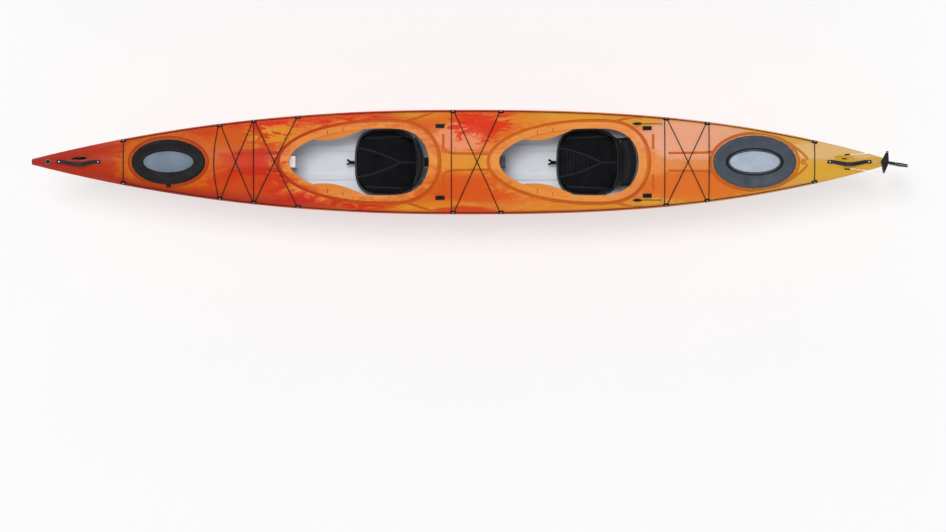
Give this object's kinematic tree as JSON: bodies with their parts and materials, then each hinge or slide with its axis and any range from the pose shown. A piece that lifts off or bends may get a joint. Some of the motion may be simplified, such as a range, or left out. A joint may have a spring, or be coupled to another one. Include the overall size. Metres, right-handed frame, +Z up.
{
  "type": "tandem kayak",
  "caption": "Tandem touring kayak with lift-off hatches, hinged backrests, sliding foot braces, a drop-down skeg and a foot-steered rudder.",
  "frame": {"origin": "under the keel amidships, on the flat of the keel", "axes": "+X from bow to stern, +Y to starboard, +Z up"},
  "size_m": [5.532, 0.662, 0.523],
  "materials": {
    "shell": "semi-gloss moulded polyethylene, red-orange to yellow",
    "white_moulding": "matte",
    "white_foam": "closed-cell foam, matte",
    "dark_foam": "closed-cell foam, matte",
    "hatch_rubber": "satin",
    "stern_rubber": "satin",
    "hatch_plate": "satin",
    "black_plastic": "satin",
    "handle_strap": "satin",
    "seat_fabric": "woven",
    "webbing": "woven",
    "deck_line": "braided",
    "pale_line": "braided",
    "stud_grey": "satin",
    "steel": "brushed",
    "slider_metal": "anodised",
    "blade_grey": "painted, matte"
  },
  "bodies": {
    "boat": {"hull_shell": "shell", "deck_shell": "shell", "bow_bulkhead": "white_moulding", "stern_bulkhead": "white_moulding", "seat_tracks": "white_moulding", "skeg_box": "white_moulding", "front_pillar": "white_foam", "middle_pillar": "dark_foam", "bow_hatch_rim": "black_plastic", "stern_hatch_rim": "black_plastic", "front_seat_pan": "black_plastic", "rear_seat_pan": "black_plastic", "front_rail_port": "black_plastic", "front_rail_starboard": "black_plastic", "rear_rail_port": "black_plastic", "rear_rail_starboard": "black_plastic", "gunwale_fittings": "black_plastic", "bow_eye": "black_plastic", "strap_anchors": "black_plastic", "cleats": "black_plastic", "keel_strip": "black_plastic", "rudder_socket": "black_plastic", "cable_bushings": "black_plastic", "bow_handle": "handle_strap", "stern_handle": "handle_strap", "front_seat_cushion": "seat_fabric", "rear_seat_cushion": "seat_fabric", "seat_pulls": "webbing", "perimeter_line_port": "deck_line", "perimeter_line_starboard": "deck_line", "fore_cords": "deck_line", "middle_cords": "deck_line", "aft_cords": "deck_line", "end_lines": "deck_line", "cleat_cords": "deck_line", "uphaul_line": "pale_line", "deck_studs": "stud_grey", "hinge_rods": "steel", "rail_bolts": "steel", "deck_screws": "steel", "skeg_pin": "steel", "rudder_cables": "steel"},
    "bow_hatch": {"bow_hatch_cover": "hatch_rubber", "bow_hatch_plate": "hatch_plate"},
    "stern_hatch": {"stern_hatch_cover": "stern_rubber", "stern_hatch_plate": "hatch_plate"},
    "front_backrest": {"front_backrest_shell": "black_plastic", "front_backrest_pad": "seat_fabric"},
    "rear_backrest": {"rear_backrest_shell": "black_plastic", "rear_backrest_pad": "seat_fabric"},
    "front_foot_port": {"front_pedal_port": "black_plastic"},
    "front_foot_starboard": {"front_pedal_starboard": "black_plastic"},
    "steer_port": {"slider_port": "slider_metal"},
    "steer_starboard": {"slider_starboard": "slider_metal"},
    "rear_foot_port": {"rear_pedal_port": "black_plastic"},
    "rear_foot_starboard": {"rear_pedal_starboard": "black_plastic"},
    "skeg_blade": {"skeg": "black_plastic"},
    "rudder": {"rudder_yoke": "black_plastic", "blade_bolt": "steel"},
    "rudder_foil": {"rudder_blade": "blade_grey"}
  },
  "joints": [
    {"name": "bow_hatch_lift", "type": "slide", "parent": "boat", "child": "bow_hatch", "axis": [0, 0, 1], "range_m": [0, 0.25]},
    {"name": "stern_hatch_lift", "type": "slide", "parent": "boat", "child": "stern_hatch", "axis": [0, 0, 1], "range_m": [0, 0.25]},
    {"name": "front_backrest_tilt", "type": "hinge", "parent": "boat", "child": "front_backrest", "pos_m": [-0.252, 0, 0.1023], "axis": [0, -1, 0], "range_deg": [0, 40]},
    {"name": "rear_backrest_tilt", "type": "hinge", "parent": "boat", "child": "rear_backrest", "pos_m": [1.026, 0, 0.1023], "axis": [0, -1, 0], "range_deg": [0, 50]},
    {"name": "front_foot_port_slide", "type": "slide", "parent": "boat", "child": "front_foot_port", "axis": [0.9931, -0.1177, 0], "range_m": [-0.13, 0.13]},
    {"name": "front_foot_starboard_slide", "type": "slide", "parent": "boat", "child": "front_foot_starboard", "axis": [0.9931, 0.1177, 0], "range_m": [-0.13, 0.13]},
    {"name": "rudder_turn", "type": "hinge", "parent": "boat", "child": "rudder", "pos_m": [2.672, 0, 0.31257], "axis": [0, 0, 1], "range_deg": [-28, 48], "deforming": ["rudder_cables", "uphaul_line"]},
    {"name": "steer_port_slide", "type": "slide", "parent": "boat", "child": "steer_port", "axis": [1, -0.0076, 0], "range_m": [-0.032, 0.054]},
    {"name": "steer_starboard_slide", "type": "slide", "parent": "boat", "child": "steer_starboard", "axis": [1, 0.0076, 0], "range_m": [-0.054, 0.032]},
    {"name": "rear_foot_port_slide", "type": "slide", "parent": "steer_port", "child": "rear_foot_port", "axis": [1, -0.0076, 0], "range_m": [-0.11, 0.11]},
    {"name": "rear_foot_starboard_slide", "type": "slide", "parent": "steer_starboard", "child": "rear_foot_starboard", "axis": [1, 0.0076, 0], "range_m": [-0.11, 0.11]},
    {"name": "skeg_swing", "type": "hinge", "parent": "boat", "child": "skeg_blade", "pos_m": [1.772, 0, 0.024], "axis": [0, -1, 0], "range_deg": [0, 27]},
    {"name": "rudder_lift", "type": "hinge", "parent": "rudder", "child": "rudder_foil", "pos_m": [2.78624, -0.02014, 0.33257], "axis": [-0.1736, -0.9848, 0], "range_deg": [0, 110]}
  ],
  "couplings": [
    {"joint": "steer_port_slide", "follows": "rudder_turn", "m_per_rad": 0.064},
    {"joint": "steer_starboard_slide", "follows": "rudder_turn", "m_per_rad": -0.064}
  ]
}
